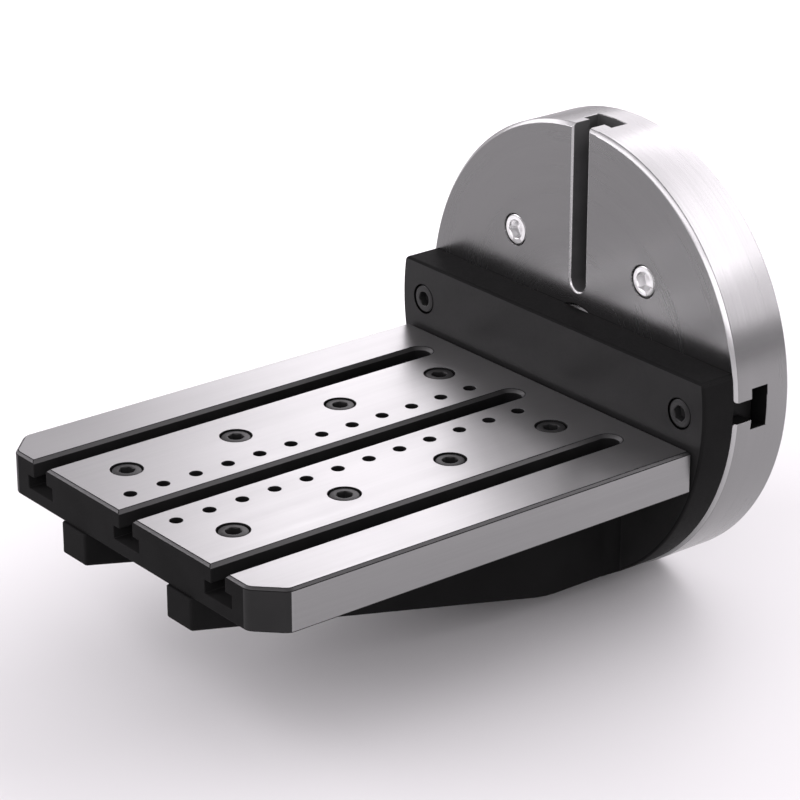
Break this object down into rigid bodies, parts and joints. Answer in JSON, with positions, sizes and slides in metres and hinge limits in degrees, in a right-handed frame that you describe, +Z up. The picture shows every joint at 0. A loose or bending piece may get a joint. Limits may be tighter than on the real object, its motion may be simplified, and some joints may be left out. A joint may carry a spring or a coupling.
{
  "type": "l-block",
  "caption": "Angle fixture for a horizontal rotary axis: a slotted face plate, a ribbed angle bracket and a table plate with T-slots and tapped holes for holding work.",
  "frame": {"origin": "centre of the face plate's back face, on the spindle axis", "axes": "+X out of the back of the face plate along the spindle axis, towards the rotary head; the table reaches away along -X; +Z up, out of the table's upper face; +Y to the left for someone who looks from the table's free end at the face plate"},
  "size_m": [0.3615, 0.255, 0.255],
  "materials": {
    "face_plate_steel": "ground face, turned rim",
    "table_steel": "ground top and sides, black oxide ends and slots",
    "black_casting": "satin black",
    "black_screw": "black oxide",
    "bright_screw": "bright zinc",
    "nut_steel": "hardened, black oxide"
  },
  "bodies": {
    "root": {"face_plate": "face_plate_steel", "angle_bracket": "black_casting", "table_plate": "table_steel", "table_screw_1": "black_screw", "table_screw_2": "black_screw", "table_screw_3": "black_screw", "table_screw_4": "black_screw", "table_screw_5": "black_screw", "table_screw_6": "black_screw", "table_screw_7": "black_screw", "table_screw_8": "black_screw", "clamp_screw_1": "black_screw", "clamp_screw_2": "black_screw", "clamp_screw_3": "black_screw", "t_nut_1": "nut_steel", "t_nut_2": "nut_steel", "t_nut_3": "nut_steel", "face_plate_screw_1": "bright_screw", "face_plate_screw_2": "bright_screw", "face_plate_screw_3": "bright_screw", "face_plate_screw_4": "bright_screw", "tenon_key_1": "nut_steel", "tenon_key_2": "nut_steel", "key_screw_1": "black_screw", "key_screw_2": "black_screw"}
  },
  "joints": []
}
